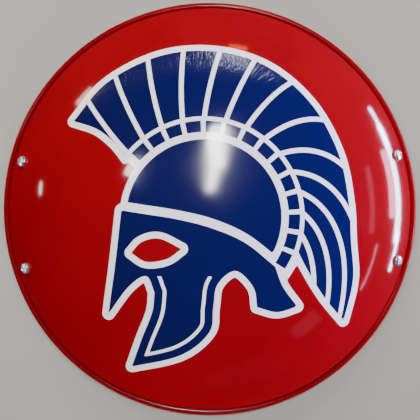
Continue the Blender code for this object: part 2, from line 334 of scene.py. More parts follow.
below_brow = smooth_outline([
    (-140, 14, CORNER), (-100, 8), (-50, 0), (0, -12), (50, -34), (100, -72, CORNER),
    (160, -120, CORNER), (160, -400, CORNER), (-200, -400, CORNER), (-200, 14, CORNER),
])
mask = smooth_outline([
    (-132, 0, CORNER), (-100, -5), (-50, -13), (0, -26), (48, -47), (92, -82, CORNER),
    (104, -112), (126, -142, CORNER), (96, -150), (66, -142, CORNER),
    (60, -112), (34, -88), (8, -108), (2, -142, CORNER),
    (-4, -180), (-46, -216), (-122, -238, CORNER),
    (-104, -190), (-88, -150), (-84, -120, CORNER),
    (-96, -96), (-122, -112), (-154, -154, CORNER), (-142, -80),
])
eye = smooth_outline([
    (-118, -62, CORNER), (-102, -46), (-76, -41), (-44, -56, CORNER), (-66, -71), (-96, -75),
])
crest = smooth_outline([
    (-124, 76, CORNER), (-142, 98), (-170, 120), (-208, 134, CORNER), (-158, 192), (-78, 232),
    (6, 238), (84, 214), (148, 158), (188, 84), (203, 12), (207, -46), (212, -104),
    (200, -168, CORNER), (166, -128), (138, -84), (118, -44, CORNER), (126, 10), (108, 66),
    (60, 116), (-10, 136), (-80, 120),
])
print("points along the outlines:", len(mask), len(eye), len(crest))

# %% Distances at every point of the face
x = (face_points[:, 0] - DRAWING_X) / UNIT
y = (face_points[:, 1] - DRAWING_Y) / UNIT
from_skull = np.hypot(x - SKULL_X, y - SKULL_Y)
bearing = np.degrees(np.arctan2(y - SKULL_Y, x - SKULL_X))

to_cap = np.maximum(from_skull - SKULL_R, -distance_to(below_brow, x, y))
to_mask = distance_to(mask, x, y)
to_eye = distance_to(eye, x, y)
to_solid = np.minimum(to_cap, np.maximum(to_mask, WHITE_LINE - to_eye))

# The crest box is a ring that ends at two bearings, and its blocks are counted from the first
block_count = (bearing - BOX_FROM) * BLOCKS / (BOX_TO - BOX_FROM)
past_ends = np.radians(np.maximum(BOX_FROM - bearing, bearing - BOX_TO)) * from_skull
to_box = np.maximum(np.abs(from_skull - BOX_MIDDLE) - BOX_HALF, past_ends)

# The strands start square to the box and lean back with their length, most of all in the tail
to_brush = np.maximum(distance_to(crest, x, y), BRUSH_ROOT - from_skull)
ease = np.clip((75.0 - bearing) / 110.0, 0.0, 1.0)
lean = 0.05 + 0.42 * ease**2 * (3 - 2 * ease)
lean_growth = -0.42 * 6 * ease * (1 - ease) / 110.0
length = from_skull - BRUSH_ROOT
strand_count = (bearing + lean * length - BOX_TO) / STRAND_PITCH
turn_share = (1 + lean_growth * length) * math.degrees(1) / np.maximum(from_skull, 1.0)
strand_change = np.hypot(turn_share, lean)
strand_width = STRAND_PITCH / strand_change

to_outline = np.minimum(np.minimum(to_solid, to_mask), np.minimum(to_box, to_brush)) - WHITE_LINE

# A fine white line runs inside the cheek guard's edge only, and stops level with the ear arch
CHEEK_X, CHEEK_REACH, CHEEK_TOP = -56.0, 56.0, -96.0
cheek_zone = np.maximum(np.abs(x - CHEEK_X) - CHEEK_REACH, y - CHEEK_TOP)

# %% Store them on the dish, with one number for all of its other points
FAR = 99.0
mesh = dish.data
for name, values, elsewhere in (
    ("to_outline", to_outline, FAR), ("to_solid", to_solid, FAR), ("to_mask", to_mask, FAR),
    ("to_eye", to_eye, FAR), ("cheek_zone", cheek_zone, FAR), ("to_box", to_box, FAR),
    ("block_count", block_count, 0.5), ("to_brush", to_brush, FAR),
    ("strand_count", strand_count, 0.5), ("strand_width", strand_width, 20.0),
    ("strand_length", length, 0.0),
):
    full = np.full(len(mesh.vertices), elsewhere, np.float32)
    full[: len(values)] = values
    mesh.attributes.new(name, "FLOAT", "POINT").data.foreach_set("value", full)
print("points under the film:", int((to_outline < 0).sum()), "of", len(to_outline))

# %% [markdown]
# ## A flat map of the dish
# When the shield is exported, its paint is baked into a picture, and the bake needs to know
# where each face lies on it. The natural map of a dish is the blank that it was pressed from:
# one disc for the face and its rim, laid out by the distance along the sheet, and a smaller
# one for the back, which holds less detail.

# %% Lay the dish out flat
def along_sheet(section, start_r, start_z, start_length):
    """How far each point of a section is from the crown, measured along the sheet."""
    chain = np.concatenate([[[start_r, start_z]], section])
    return start_length + np.cumsum(np.hypot(*np.diff(chain, axis=0).T))


steps = np.linspace(0.0, dome_r, 400)
dome_line = np.concatenate([[0.0], np.cumsum(np.hypot(np.diff(steps), np.diff(dome(steps)[0])))])
dome_length = dome_line[-1]
face_flat = np.interp(radius * dome_r, steps, dome_line)
rim_flat = along_sheet(rim_section, dome_r, dome(dome_r)[0], dome_length)
back_flat = np.interp(back_radius * dome_r, steps, dome_line)
MARGIN = 2.0 * MM
BACK_SCALE = 0.45
full_r = rim_flat[-1] + MARGIN
back_r = (dome_length + 2 * MARGIN) * BACK_SCALE
side_length = (full_r + back_r) * (1 + math.sqrt(0.5))


def flat_disc(distance, bearing, centre, scale=1.0):
    """Places on the map, from 0 to 1, for points at a distance and a bearing from a disc's middle."""
    spread = np.stack([distance * np.cos(bearing), distance * np.sin(bearing)], axis=-1)
    return (spread * scale + centre) / side_length


front_map = np.concatenate([
    flat_disc(face_flat, angle, full_r),
    flat_disc(*np.broadcast_arrays(rim_flat[:, None], around[None, :]), full_r).reshape(-1, 2),
    np.zeros((len(back_points), 2)),
])
# The faces of the back's disc also use the rim's last ring, which lies round it on the map
first_back = len(dish_points) - len(back_points)
inner_map = np.zeros((len(dish_points), 2))
inner_map[first_back - len(around):] = np.concatenate([
    flat_disc(dome_length + MARGIN, around, side_length - back_r, BACK_SCALE),
    flat_disc(back_flat, back_angle, side_length - back_r, BACK_SCALE),
])

loop_vertex = read_all(mesh.loops, "vertex_index", kind=int)
loop_total = read_all(mesh.polygons, "loop_total", kind=int)
loop_face = np.repeat(np.arange(len(mesh.polygons)), loop_total)
touches_back = np.zeros(len(mesh.polygons), bool)
np.logical_or.at(touches_back, loop_face, loop_vertex >= first_back)
places = np.where(touches_back[loop_face][:, None], inner_map[loop_vertex], front_map[loop_vertex])
mesh.uv_layers.new(name="OFBake").data.foreach_set("uv", places.astype(np.float32).ravel())
print(f"map is {side_length:.3f} m wide, with {int(touches_back.sum())} faces on the back's disc")

# %% [markdown]
# ## Helpers for materials
# A colour is written as the hex value that it has on a screen, and the renderer wants it in
# linear light, so one function turns it. Another adds a node, sets it up and links it, so that
# each material below reads as a list of steps.

# %% Colour and node helpers
def colour(code):
    """A hex colour such as #B00004 in linear light, with an alpha of 1."""
    parts = [int(code[i:i + 2], 16) / 255 for i in (1, 3, 5)]
    linear = [part / 12.92 if part <= 0.04045 else ((part + 0.055) / 1.055) ** 2.4 for part in parts]
    return (*linear, 1.0)


def add(kind, inputs=None, **settings):
    """A new node in the tree of the material that is being made. settings are its properties,
    and inputs gives its sockets, by name or number, a value or the output of another node."""
    node = tree.nodes.new("ShaderNode" + kind)
    for name, value in settings.items():
        setattr(node, name, value)
    for socket, value in (inputs or {}).items():
        if isinstance(value, bpy.types.NodeSocket):
            tree.links.new(value, node.inputs[socket])
        else:
            node.inputs[socket].default_value = value
    return node


def scale_for(size_mm):
    """A pattern's scale for a feature of a real size in millimetres: how many fit into a metre."""
    return 1.0 / (size_mm * MM)


def new_material(name):
    """A material with one Principled shader, its node tree and that shader."""
    made = bpy.data.materials.new(name)
    made.use_nodes = True
    return made, made.node_tree, made.node_tree.nodes["Principled BSDF"]


# %% [markdown]
# ## Gloss enamel on steel
# The red is sprayed alkyd enamel, and the white and blue of the picture are printed film that
# was laid over the dome. Three things tell the eye what it sees: a deep, even colour, sharp
# reflections on top of it, and the faint pebbled skin that sprayed paint dries to, which makes
# the edges of those reflections shiver. The film is a little softer than the enamel, and where
# it didn't stretch it creases, so a lamp breaks up into splinters of light there.
#
# The material decides each colour by comparing the stored distances with zero. The blocks and
# the strands repeat, so there the part of a count after the point says how far along one block
# or strand a place is, and its width turns that into the drawing's units.

# %% The picture's three masks
enamel, tree, shader = new_material("sprayed_gloss_enamel")
place = add("TexCoord").outputs["Object"]


def number(name):
    """A number that the mesh stores at each point."""
    return add("Attribute", attribute_name=name).outputs["Fac"]


def gap_from_border(count, width):
    """How far it is to the nearest line between two repeats of a width, negative inside them."""
    part = add("Math", {0: count}, operation="FRACT")
    centred = add("Math", {0: part.outputs[0], 1: 0.5}, operation="SUBTRACT")
    size = add("Math", {0: centred.outputs[0]}, operation="ABSOLUTE")
    share = add("Math", {0: size.outputs[0], 1: 0.5}, operation="SUBTRACT")
    return add("Math", {0: share.outputs[0], 1: width}, operation="MULTIPLY").outputs[0]


def inside(distance):
    """1 inside an edge and 0 outside it, with a soft step some 0.3 mm wide between them."""
    step = add(
        "MapRange", {"Value": distance, "From Min": 0.15, "From Max": -0.15},
        interpolation_type="SMOOTHSTEP",
    )
    return step.outputs["Result"]


# How far the white reaches from the line between two blocks, from a block's end and from the
# line between two strands, in the drawing's units
BLOCK_LINE, END_LINE, STRAND_LINE = 3.4, 2.5, 3.6
BLOCK_WIDTH = math.radians((BOX_TO - BOX_FROM) / BLOCKS) * BOX_MIDDLE
gap = gap_from_border(number("block_count"), BLOCK_WIDTH)
side = add("Math", {0: gap, 1: BLOCK_LINE}, operation="ADD").outputs[0]
end = add("Math", {0: number("to_box"), 1: END_LINE}, operation="ADD").outputs[0]
block = add("Math", {0: side, 1: end}, operation="MAXIMUM").outputs[0]

gap = gap_from_border(number("strand_count"), number("strand_width"))
side = add("Math", {0: gap, 1: STRAND_LINE}, operation="ADD").outputs[0]
strand = add("Math", {0: side, 1: number("to_brush")}, operation="MAXIMUM").outputs[0]

# The cheek guard's fine line: how far inside the edge it runs, and half its width
CHEEK_LINE, CHEEK_HALF = 15.0, 2.6
off = add("Math", {0: number("to_mask"), 1: CHEEK_LINE}, operation="ADD").outputs[0]
off = add("Math", {0: off}, operation="ABSOLUTE").outputs[0]
off = add("Math", {0: off, 1: CHEEK_HALF}, operation="SUBTRACT").outputs[0]
cut = add("Math", {0: off, 1: number("cheek_zone")}, operation="MAXIMUM").outputs[0]
uncut = add("Math", {0: cut, 1: -1.0}, operation="MULTIPLY").outputs[0]
plain = add("Math", {0: number("to_solid"), 1: uncut}, operation="MAXIMUM").outputs[0]

to_blue = add("Math", {0: block, 1: strand}, operation="MINIMUM").outputs[0]
to_blue = add("Math", {0: to_blue, 1: plain}, operation="MINIMUM").outputs[0]
is_white = inside(number("to_outline"))
is_blue = inside(to_blue)
is_eye = inside(number("to_eye"))
print("nodes in the picture's masks:", len(tree.nodes))

# %% Its colours, and the paint's skin
RED = colour("#900111")
DEEP_RED = colour("#82010F")
WHITE = colour("#FAF7F6")
BLUE = colour("#10124E")
DEEP_BLUE = colour("#0C0E3F")


def mixed(factor, low_colour, high_colour):
    """One colour over another, by a factor from 0 to 1."""
    node = add("Mix", {0: factor, 6: low_colour, 7: high_colour}, data_type="RGBA")
    return node.outputs[2]


# Sprayed coats overlap, so the red is a little deeper in broad patches, about 90 mm across
patches = add("TexNoise", {"Vector": place, "Scale": scale_for(91), "Detail": 2.0}).outputs["Fac"]
red = mixed(patches, RED, DEEP_RED)
# The blue is film, and its print has a grain of about 2 mm
grain = add("TexNoise", {"Vector": place, "Scale": scale_for(2.38), "Detail": 2.0}).outputs["Fac"]
blue = mixed(grain, BLUE, DEEP_BLUE)
picture = mixed(is_eye, mixed(is_blue, mixed(is_white, red, WHITE), blue), red)
tree.links.new(picture, shader.inputs["Base Color"])

# The pebbled skin of sprayed paint: cells of about 3 mm, a hundredth of a millimetre high at most
peel = add("TexNoise", {"Vector": place, "Scale": scale_for(3.33), "Detail": 1.0}).outputs["Fac"]
skin = add("Bump", {"Height": peel, "Strength": 0.15, "Distance": 0.08 * MM})
# The film didn't stretch evenly over the dome: at the tips of the crest's upper strands it lies
# in fine creases, some 4 mm wide and 15 mm long, that run with the strands
tips = add(
    "MapRange", {"Value": number("strand_length"), "From Min": 50.0, "From Max": 90.0},
    interpolation_type="SMOOTHSTEP",
).outputs["Result"]
up = add("SeparateXYZ", {"Vector": place}).outputs["Y"]
upper = add("MapRange", {"Value": up, "From Min": 0.12, "From Max": 0.18}).outputs["Result"]
tips = add("Math", {0: tips, 1: upper}, operation="MULTIPLY").outputs[0]
creased = add("Math", {0: tips, 1: is_blue}, operation="MULTIPLY").outputs[0]
across = add("Math", {0: number("strand_count"), 1: 10.0}, operation="MULTIPLY").outputs[0]
along = add("Math", {0: number("strand_length"), 1: 15.0}, operation="DIVIDE").outputs[0]
with_strands = add("CombineXYZ", {"X": across, "Y": along}).outputs[0]
creases = add(
    "TexNoise",
    {"Vector": with_strands, "Scale": 1.0, "Detail": 2.0, "Roughness": 0.5, "Distortion": 1.0},
).outputs["Fac"]
crease_height = add("Math", {0: creases, 1: creased}, operation="MULTIPLY").outputs[0]
creasing = add(
    "Bump",
    {"Height": crease_height, "Normal": skin.outputs[0], "Strength": 1.0, "Distance": 0.8 * MM},
)
tree.links.new(creasing.outputs[0], shader.inputs["Normal"])
# The red dries to a mirror, the film on it is softer, and it is softest where it is creased
gloss = add("MapRange", {"Value": is_white, "To Min": 0.08, "To Max": 0.12}).outputs["Result"]
softened = add("Math", {0: creased, 1: 0.10, 2: gloss}, operation="MULTIPLY_ADD").outputs[0]
tree.links.new(softened, shader.inputs["Roughness"])
shader.inputs["IOR"].default_value = 1.5
print("enamel has", len(tree.nodes), "nodes")

# %% [markdown]
# ## The same enamel on the rolled rim
# The shield is stood, carried and laid down on its rim, which chalks the enamel there: most of
# the surface scatters light, and little is left that mirrors it. So the rim shows short, weak
# glints where the dome has long bright ones, and its red is painted darker than the face's, as
# painted shade on the narrow bead. The share that mirrors is one number on the shader, and so
# the rim has a material of its own.

# %% Enamel on the rim
rim_enamel, tree, shader = new_material("rubbed_rim_enamel_painted_shade")
place = add("TexCoord").outputs["Object"]
# The hands' rubbing leaves the colour uneven over some 60 mm
rubbing = add("TexNoise", {"Vector": place, "Scale": scale_for(62.5), "Detail": 3.0}).outputs["Fac"]
# Both reds are darker than the face's red: painted shade on the bead, mixed unevenly like rubbed paint
tree.links.new(mixed(rubbing, colour("#86020E"), colour("#6E030C")), shader.inputs["Base Color"])
scuffs = add("TexNoise", {"Vector": place, "Scale": scale_for(3.33), "Detail": 2.0}).outputs["Fac"]
scuffed = add("Bump", {"Height": scuffs, "Strength": 0.2, "Distance": 0.08 * MM})
tree.links.new(scuffed.outputs[0], shader.inputs["Normal"])
shader.inputs["Roughness"].default_value = 0.14
shader.inputs["IOR"].default_value = 1.5
shader.inputs["Specular IOR Level"].default_value = 0.1

# %% [markdown]
# ## The same enamel inside the dish
# Nobody rubs down or polishes the back. It gets one wet coat, so it is the same red with a
# satin shine, coarser pebbles, and dull dry spray where the gun passed too far off.

# %% Enamel on the back
back_enamel, tree, shader = new_material("sprayed_satin_enamel")
place = add("TexCoord").outputs["Object"]
passes = add("TexNoise", {"Vector": place, "Scale": scale_for(111), "Detail": 3.0}).outputs["Fac"]
tree.links.new(mixed(passes, colour("#9E0508"), colour("#7E0306")), shader.inputs["Base Color"])
dryness = add(
    "MapRange", {"Value": passes, "From Min": 0.3, "From Max": 0.7, "To Min": 0.26, "To Max": 0.48},
)
tree.links.new(dryness.outputs["Result"], shader.inputs["Roughness"])
pebbles = add("TexNoise", {"Vector": place, "Scale": scale_for(2.38), "Detail": 2.0}).outputs["Fac"]
rough_skin = add("Bump", {"Height": pebbles, "Strength": 0.25, "Distance": 0.12 * MM})
tree.links.new(rough_skin.outputs[0], shader.inputs["Normal"])

mesh = dish.data
for material in (enamel, back_enamel, rim_enamel):
    mesh.materials.append(material)
centres = read_all(mesh.polygons, "center", 3)
normals = read_all(mesh.polygons, "normal", 3)
from_axis = np.hypot(centres[:, 0], centres[:, 1])
# The back looks down or inwards, and it reaches as far as the inside of the wall
inner = (normals[:, 2] < 0.2) & (from_axis < RIM_RADIUS - 2 * BEAD + 0.1 * MM)
rolled = from_axis > wall_r
mesh.polygons.foreach_set("material_index", (inner + 2 * rolled).astype(np.int32))
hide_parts("dish")
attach(dish, "root")
print("faces of the back:", int(inner.sum()), "and of the rolled rim:", int(rolled.sum()))

# %% [markdown]
# ## Where each screw stands
# Each screw, washer and nut leans with the dome, square to its surface. The frame's washers say
# exactly where: the middle of a washer's points is on the screw's axis, and the direction in
# which the points spread least is the axis itself. The screw's own points, measured along that
# axis, give the top of its head and the tip of its thread.

# %% Read the four axes from the frame
CORNERS = ("upper_right", "upper_left", "lower_left", "lower_right")


def points_of(node):
    """A CAD node's corner points, each once."""
    points = read_all(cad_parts[node].data.vertices, "co", 3)
    return np.unique(np.round(points, 7), axis=0)


def axis_of(corner):
    """The screw's axis: a point on it, level with the dish's face, and three directions in the
    rows of an array, the last of them out of the face."""
    washer = points_of(f"washer_{corner}")
    middle = washer.mean(axis=0)
    outwards = np.linalg.svd(washer - middle)[2][2]
    outwards = outwards * np.sign(outwards[2])
    level = np.cross([0.0, 0.0, 1.0], outwards)
    level = level / np.linalg.norm(level)
    top = ((points_of(f"screw_{corner}") - middle) @ outwards).max()
    origin = middle + outwards * (top - HEAD_TOP)
    return origin, np.stack([level, np.cross(outwards, level), outwards])


HEAD_TOP = 5.5 * MM
SEAT = 0.3 * MM
axes = {corner: axis_of(corner) for corner in CORNERS}
for corner, (origin, directions) in axes.items():
    leaning = math.degrees(math.acos(directions[2][2]))
    print(corner, "at", np.round(origin / MM, 1), "leans", round(leaning, 1))


def stand(points, corner, turn=0.0):
    """Puts points that were made upright about Z on a screw's axis, turned about it by an angle."""
    cos, sin = math.cos(math.radians(turn)), math.sin(math.radians(turn))
    spin = np.array([[cos, sin, 0.0], [-sin, cos, 0.0], [0.0, 0.0, 1.0]])
    origin, directions = axes[corner]
    return points.reshape(-1, 3) @ spin @ directions + origin


# %% [markdown]
# ## Pan-head screws
# An M8 pan head is cold-forged: a flat-topped button with a rounded shoulder, and a cross
# recess pressed into it whose walls lean inwards. The head is one disc whose height is a
# formula. The button is a superellipse, an oval with a flattened top and full shoulders, and
# the recess takes away a depth that grows steeply from the edges of two crossed slots.
# Behind the nut the thread shows, as a ridge whose height depends on the turn and the distance
# along the screw, one ridge for each 1.25 mm.

# %% Build the screws
HEAD_R = 8.0 * MM
HEAD_EDGE = 2.2 * MM
RECESS_REACH = 4.4 * MM
RECESS_HALF = 1.15 * MM
RECESS_DEEP = 3.4 * MM
RECESS_SIDE, RECESS_END = 8.0, 2.2
SHANK_R = 4.0 * MM
PITCH = 1.25 * MM
THREAD_DEEP = 0.62 * MM
THREAD_LENGTH = 8.6 * MM
CHAMFER = 0.9 * MM
HEAD_RINGS = 40


def recess_depth(x, y):
    """Depth of the cross recess: in each of two slots it grows 8 times as fast as the distance
    from a long side and 2.2 times as fast as that from an end, down to a flat bottom."""
    slots = []
    for along, across in ((x, y), (y, x)):
        from_side = (RECESS_HALF - np.abs(across)) * RECESS_SIDE
        from_end = (RECESS_REACH - np.abs(along)) * RECESS_END
        slots.append(np.clip(np.minimum(from_side, from_end), 0.0, RECESS_DEEP))
    return np.maximum(*slots)


def screw_surface(tip):
    """A screw upright about Z, with the dish's face at height 0 and its tip at a depth."""
    share, bearing = disc_grid(HEAD_RINGS)[:2]
    button = HEAD_EDGE + SEAT + (HEAD_TOP - HEAD_EDGE - SEAT) * (1.0 - share**2.8) ** (1 / 2.2)
    top = turned(share * HEAD_R, bearing, button)
    top[:, 2] -= recess_depth(top[:, 0], top[:, 1])
    turns = np.arange(8 * HEAD_RINGS) * math.tau / (8 * HEAD_RINGS)
    side = np.array([
        (HEAD_R, SEAT + 1.4 * MM), (HEAD_R, SEAT + 0.35 * MM), (HEAD_R - 0.12 * MM, SEAT + 0.1 * MM),
        (HEAD_R - 0.35 * MM, SEAT), (SHANK_R + 0.4 * MM, SEAT), (SHANK_R, SEAT - 0.4 * MM),
        (SHANK_R, tip + THREAD_LENGTH + 0.4 * MM),
    ])
    plain = turned(side[:, None, 0], turns[None, :], side[:, None, 1])
    depth = np.linspace(tip + THREAD_LENGTH, tip + 0.05 * MM, 52)[:, None]
    phase = (depth / PITCH - turns[None, :] / math.tau) % 1.0
    ridge = np.clip(1.25 - 2.5 * np.abs(phase - 0.5) * 1.25, 0.0, 1.0)
    fade = np.clip((tip + THREAD_LENGTH - depth) / (1.2 * MM), 0.0, 1.0)
    cone = SHANK_R + np.minimum(0.0, depth - tip - CHAMFER)
    thread_r = np.minimum(SHANK_R - THREAD_DEEP * (1.0 - ridge) * fade, cone)
    thread = turned(thread_r, turns[None, :], depth)
    end_share, end_bearing = disc_grid(HEAD_RINGS // 2)[:2]
    end_r = (SHANK_R - CHAMFER) * end_share
    end = turned(end_r, end_bearing, np.full_like(end_r, tip))
    return closed_turning(top, np.concatenate([plain, thread]), end, HEAD_RINGS)


RECESS_TURN = {"upper_right": 24.0, "upper_left": -31.0, "lower_left": 12.0, "lower_right": 41.0}
screws = []
for corner in CORNERS:
    origin, directions = axes[corner]
    tip = ((points_of(f"screw_{corner}") - origin) @ directions[2]).min()
    points, faces = screw_surface(tip)
    screw = make_piece(f"pan_screw_{corner}", stand(points, corner, RECESS_TURN[corner]), faces, 42.0)
    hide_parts(f"screw_{corner}")
    screws.append(screw)

# %% [markdown]
# ## Washers and nuts
# A washer is punched from sheet: the punch rounds the edge on the side that it enters and
# leaves a square one behind. It is a closed section turned once round the axis. A nut starts as
# a bar of hexagon steel, and both ends are turned to a cone, which cuts the six curved edges.
# Its outside is therefore the lower of two heights at each turn: the flat end, and the cone at
# the distance that the hexagon has there.

# %% Build the washers
def ring_surface(section, count):
    """A closed section of (radius, height) points turned about Z, as points and faces."""
    turns = np.arange(count) * math.tau / count
    points = turned(section[None, :, 0], turns[:, None], section[None, :, 1])
    return points.reshape(-1, 3), [ring_faces(count, len(section))]


def ring_faces(count, size):
    """The faces of a grid that closes on itself both ways."""
    index = np.arange(count * size).reshape(count, size)
    right = np.roll(index, -1, axis=0)
    corners = (index, right, np.roll(right, -1, axis=1), np.roll(index, -1, axis=1))
    return np.stack([corner.ravel() for corner in corners], axis=1)


def along_axis(node, corner):
    """The lowest and highest place of a node along its screw's axis."""
    origin, directions = axes[corner]
    reach = (points_of(node) - origin) @ directions[2]
    return reach.min(), reach.max()


WASHER_R, WASHER_BORE = 10.0 * MM, 4.4 * MM
EDGE_ROUND, BORE_ROUND, BURR = 0.45 * MM, 0.3 * MM, 0.08 * MM
washers = []
for corner in CORNERS:
    bottom, top = along_axis(f"washer_{corner}", corner)
    section = np.concatenate([
        arc((WASHER_R - EDGE_ROUND, bottom + EDGE_ROUND), EDGE_ROUND, -90.0, 0.0, 5),
        [(WASHER_R, top - BURR), (WASHER_R - BURR, top)],
        [(WASHER_BORE + BURR, top), (WASHER_BORE, top - BURR)],
        arc((WASHER_BORE + BORE_ROUND, bottom + BORE_ROUND), BORE_ROUND, 180.0, 270.0, 4),
    ])
    points, faces = ring_surface(section, 96)
    washer = make_piece(f"flat_washer_{corner}", stand(points, corner), faces)
    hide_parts(f"washer_{corner}")
    washers.append(washer)

# %% Build the nuts
NUT_FLATS, NUT_BORE = 13.0 * MM, 4.15 * MM
NUT_FACE = 5.9 * MM
NUT_CONE = 0.55
COUNTERSINK = 0.5 * MM
CORNER_WEAR = 0.12 * MM
NUT_TURNS = 144


def nut_surface(bottom, top):
    """A hexagon nut between two heights. The hexagon's radius at a turn is half its width over
    the cosine of the turn from the nearest flat, and the cone falls 0.55 for each unit past
    the flat end's edge."""
    turns = np.arange(NUT_TURNS) * math.tau / NUT_TURNS
    from_flat = (turns + math.pi / 6) % (math.pi / 3) - math.pi / 6
    hexagon = NUT_FLATS / 2 / np.cos(from_flat)
    hexagon = np.minimum(hexagon, NUT_FLATS / 2 / math.cos(math.pi / 6) - CORNER_WEAR)
    fall = np.maximum(0.0, hexagon - NUT_FACE) * NUT_CONE
    rows = [
        (NUT_BORE, bottom + COUNTERSINK), (NUT_BORE, top - COUNTERSINK),
        (NUT_BORE + COUNTERSINK, top), (NUT_FACE, top),
        (hexagon - 0.03 * MM, top - fall), (hexagon, top - fall - 0.08 * MM),
        (hexagon, bottom + fall + 0.08 * MM), (hexagon - 0.03 * MM, bottom + fall),
        (NUT_FACE, bottom), (NUT_BORE + COUNTERSINK, bottom),
    ]
    section_r = np.stack([np.broadcast_to(row[0], NUT_TURNS) for row in rows], axis=1)
    section_z = np.stack([np.broadcast_to(row[1], NUT_TURNS) for row in rows], axis=1)
    points = turned(section_r, turns[:, None], section_z).reshape(-1, 3)
    return points, [ring_faces(NUT_TURNS, len(rows))]


NUT_TURN = {"upper_right": 8.0, "upper_left": 47.0, "lower_left": 21.0, "lower_right": 33.0}
nuts = []
for corner in CORNERS:
    points, faces = nut_surface(*along_axis(f"nut_{corner}", corner))
    nut = make_piece(f"hex_nut_{corner}", stand(points, corner, NUT_TURN[corner]), faces, 25.0)
    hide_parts(f"nut_{corner}")
    nuts.append(nut)

# %% [markdown]
# ## Bright zinc plate
# Screws, washers and nuts are steel, plated with a few microns of zinc and dipped to a blue
# shine. It is a metal, so the colour tints the reflection itself, though a thin bloom of oxide
# scatters a tenth of the light. Barrel plating knocks the parts against each other, which
# leaves them finely pitted and their shine uneven.

# %% Zinc plate
zinc, tree, shader = new_material("bright_zinc_plate")
place = add("TexCoord").outputs["Object"]
cloud = add("TexNoise", {"Vector": place, "Scale": scale_for(2.22), "Detail": 3.0}).outputs["Fac"]
tree.links.new(mixed(cloud, colour("#DDE0E4"), colour("#CDD0D8")), shader.inputs["Base Color"])
dulling = add(
    "MapRange", {"Value": cloud, "From Min": 0.35, "From Max": 0.7, "To Min": 0.22, "To Max": 0.3},
)
tree.links.new(dulling.outputs["Result"], shader.inputs["Roughness"])
pits = add("TexNoise", {"Vector": place, "Scale": scale_for(0.455), "Detail": 2.0}).outputs["Fac"]
pitted = add("Bump", {"Height": pits, "Strength": 0.15, "Distance": 0.05 * MM})
tree.links.new(pitted.outputs[0], shader.inputs["Normal"])
shader.inputs["Metallic"].default_value = 0.9
for piece in screws + washers + nuts:
    piece.data.materials.append(zinc)
    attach(piece, "root")
print("plated pieces:", len(screws + washers + nuts))

# %% [markdown]
# ## The arm straps
# Each strap is cut from a 3 mm side of harness leather, its corners are rounded and its edges
# are rubbed until they shine. The nuts clamp its ends flat against the inside of the dome.
# Between them it hangs a little, because leather stretches, and it bends where it leaves the
# steel.
#
# The strap's surface is a section carried along its length. Where it touches the dome its
# height is the dome's less a small gap, and elsewhere it is a shallow hanging curve. A soft
# minimum of the two rounds the bend between them. The section is a rectangle with rounded
# edges, and a groove runs inside each edge on both faces, pressed in with a hot iron.

# %% The strap's sizes and its line
STRAP_WIDTH = 38.0 * MM
STRAP_THICK = 3.0 * MM
STRAP_HEIGHT = 37.0 * MM
STRAP_SAG = 15.0 * MM
STRAP_END_GAP = 2.2 * MM
STRAP_CORNER = 9.0 * MM
STRAP_BEND = 1.6 * MM
DISH_GAP = 0.6 * MM


def sheet_back(r):
    """Height of the dish's back at a radius and how steeply it falls: the dome's, and past its
    edge the inner arc of the shoulder."""
    height, slope = dome(r)
    radius = SHOULDER - SHEET
    out = np.clip(r - shoulder_r, 0.0, 0.98 * radius)
    rise = np.sqrt(radius**2 - out**2)
    on_dome = r <= dome_r
    back = np.where(on_dome, height - SHEET * np.hypot(1.0, slope), shoulder_z + rise)
    return back, np.where(on_dome, slope, out / rise)


def strap_top(x, y, half_span):
    """Height of the strap's upper face: the soft minimum of the dome's back, less a gap, and of
    a parabola that hangs between the screws."""
    back, slope = sheet_back(np.hypot(x, y))
    against = back - DISH_GAP * np.hypot(1.0, slope)
    hanging = STRAP_HEIGHT - STRAP_SAG * (1.0 - np.minimum(1.0, np.abs(x) / half_span) ** 2)
    low = np.minimum(against, hanging)
    spread = np.exp((low - against) / STRAP_BEND) + np.exp((low - hanging) / STRAP_BEND)
    return low - STRAP_BEND * np.log(spread)


# %% The strap's section
EDGE_R = 1.1 * MM
CREASE_IN, CREASE_DEEP, CREASE_WIDE = 3.2 * MM, 0.35 * MM, 0.45 * MM


def strap_section():
    """The section's points as (distance in from the nearest long edge, which edge, height), once
    round: across the top, round one edge, back along the bottom and round the other."""
    across = STRAP_WIDTH / 2
    near_edge = np.array([0.0, 1.2, 1.8, 2.1, 2.6, 3.2, 4.0, 6.5]) * MM + EDGE_R
    flat = np.concatenate([-(across - near_edge), [0.0], (across - near_edge)[::-1]])
    crease = CREASE_DEEP * np.exp(-(((across - np.abs(flat)) - CREASE_IN) / CREASE_WIDE) ** 2)
    turn = np.radians(np.linspace(90.0, -90.0, 9)[1:-1])
    round_edge = across - EDGE_R + EDGE_R * np.cos(turn)
    right = np.stack([round_edge, STRAP_THICK / 2 * (1 + np.sin(turn))], axis=1)
    top = np.stack([flat, STRAP_THICK - crease], axis=1)
    bottom = np.stack([flat[::-1], crease[::-1]], axis=1)
    left = np.stack([-right[::-1, 0], right[::-1, 1]], axis=1)
    return np.concatenate([top, right, bottom, left]), len(flat)


section, flat_count = strap_section()
print("points round the strap's section:", len(section))


# %% Carry the section along the strap
STRAP_ROWS = 170


